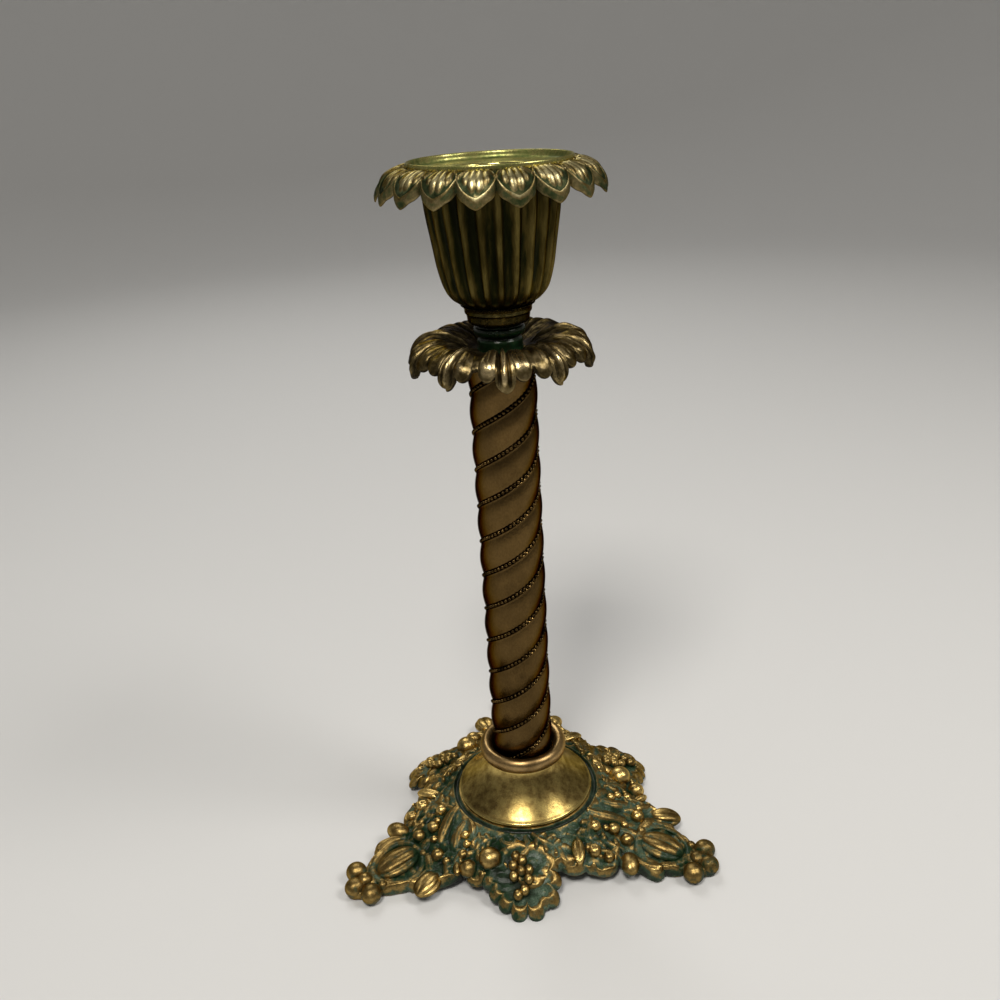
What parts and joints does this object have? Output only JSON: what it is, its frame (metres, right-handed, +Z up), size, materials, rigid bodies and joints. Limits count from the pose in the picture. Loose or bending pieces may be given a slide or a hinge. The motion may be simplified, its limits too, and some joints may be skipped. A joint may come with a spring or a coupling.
{
  "type": "candle holder",
  "caption": "Brass candlestick: lift-out petal drip pan with candle socket, fluted cup, leafy collar, rope-twisted column, flared foot dome and star-shaped base cast with fruit and leaves.",
  "frame": {"origin": "on the column's axis, in the plane of the table that the base stands on", "axes": "+Z up along the column's axis towards the candle; -Y to the front, along a short arm of the base; +X to the right"},
  "size_m": [0.126, 0.1228, 0.2291],
  "materials": {
    "base_brass": "cast, rubbed gold on high spots with green verdigris in the recesses",
    "spun_brass": "spun and polished, mottled with age",
    "ring_brass": "satin, brown patina",
    "column_brass": "satin, brown patina",
    "leaf_brass": "cast, olive patina with bright high spots",
    "cup_brass": "cast, dark patina with green in the flutes",
    "petal_brass": "cast, bright edges and dark green recesses",
    "steel": "plain, dull"
  },
  "bodies": {
    "stand": {"base_casting": "base_brass", "foot_dome": "spun_brass", "foot_ring": "ring_brass", "column": "column_brass", "collar": "leaf_brass", "neck_spool": "cup_brass", "cup": "cup_brass", "tie_rod": "steel", "lower_washer": "steel", "lower_nut": "steel", "upper_nut": "steel"},
    "nozzle": {"petal_pan": "petal_brass", "socket_liner": "spun_brass"}
  },
  "joints": [
    {"name": "nozzle_lift", "type": "slide", "parent": "stand", "child": "nozzle", "axis": [0, 0, 1], "range_m": [0, 0.035]}
  ]
}
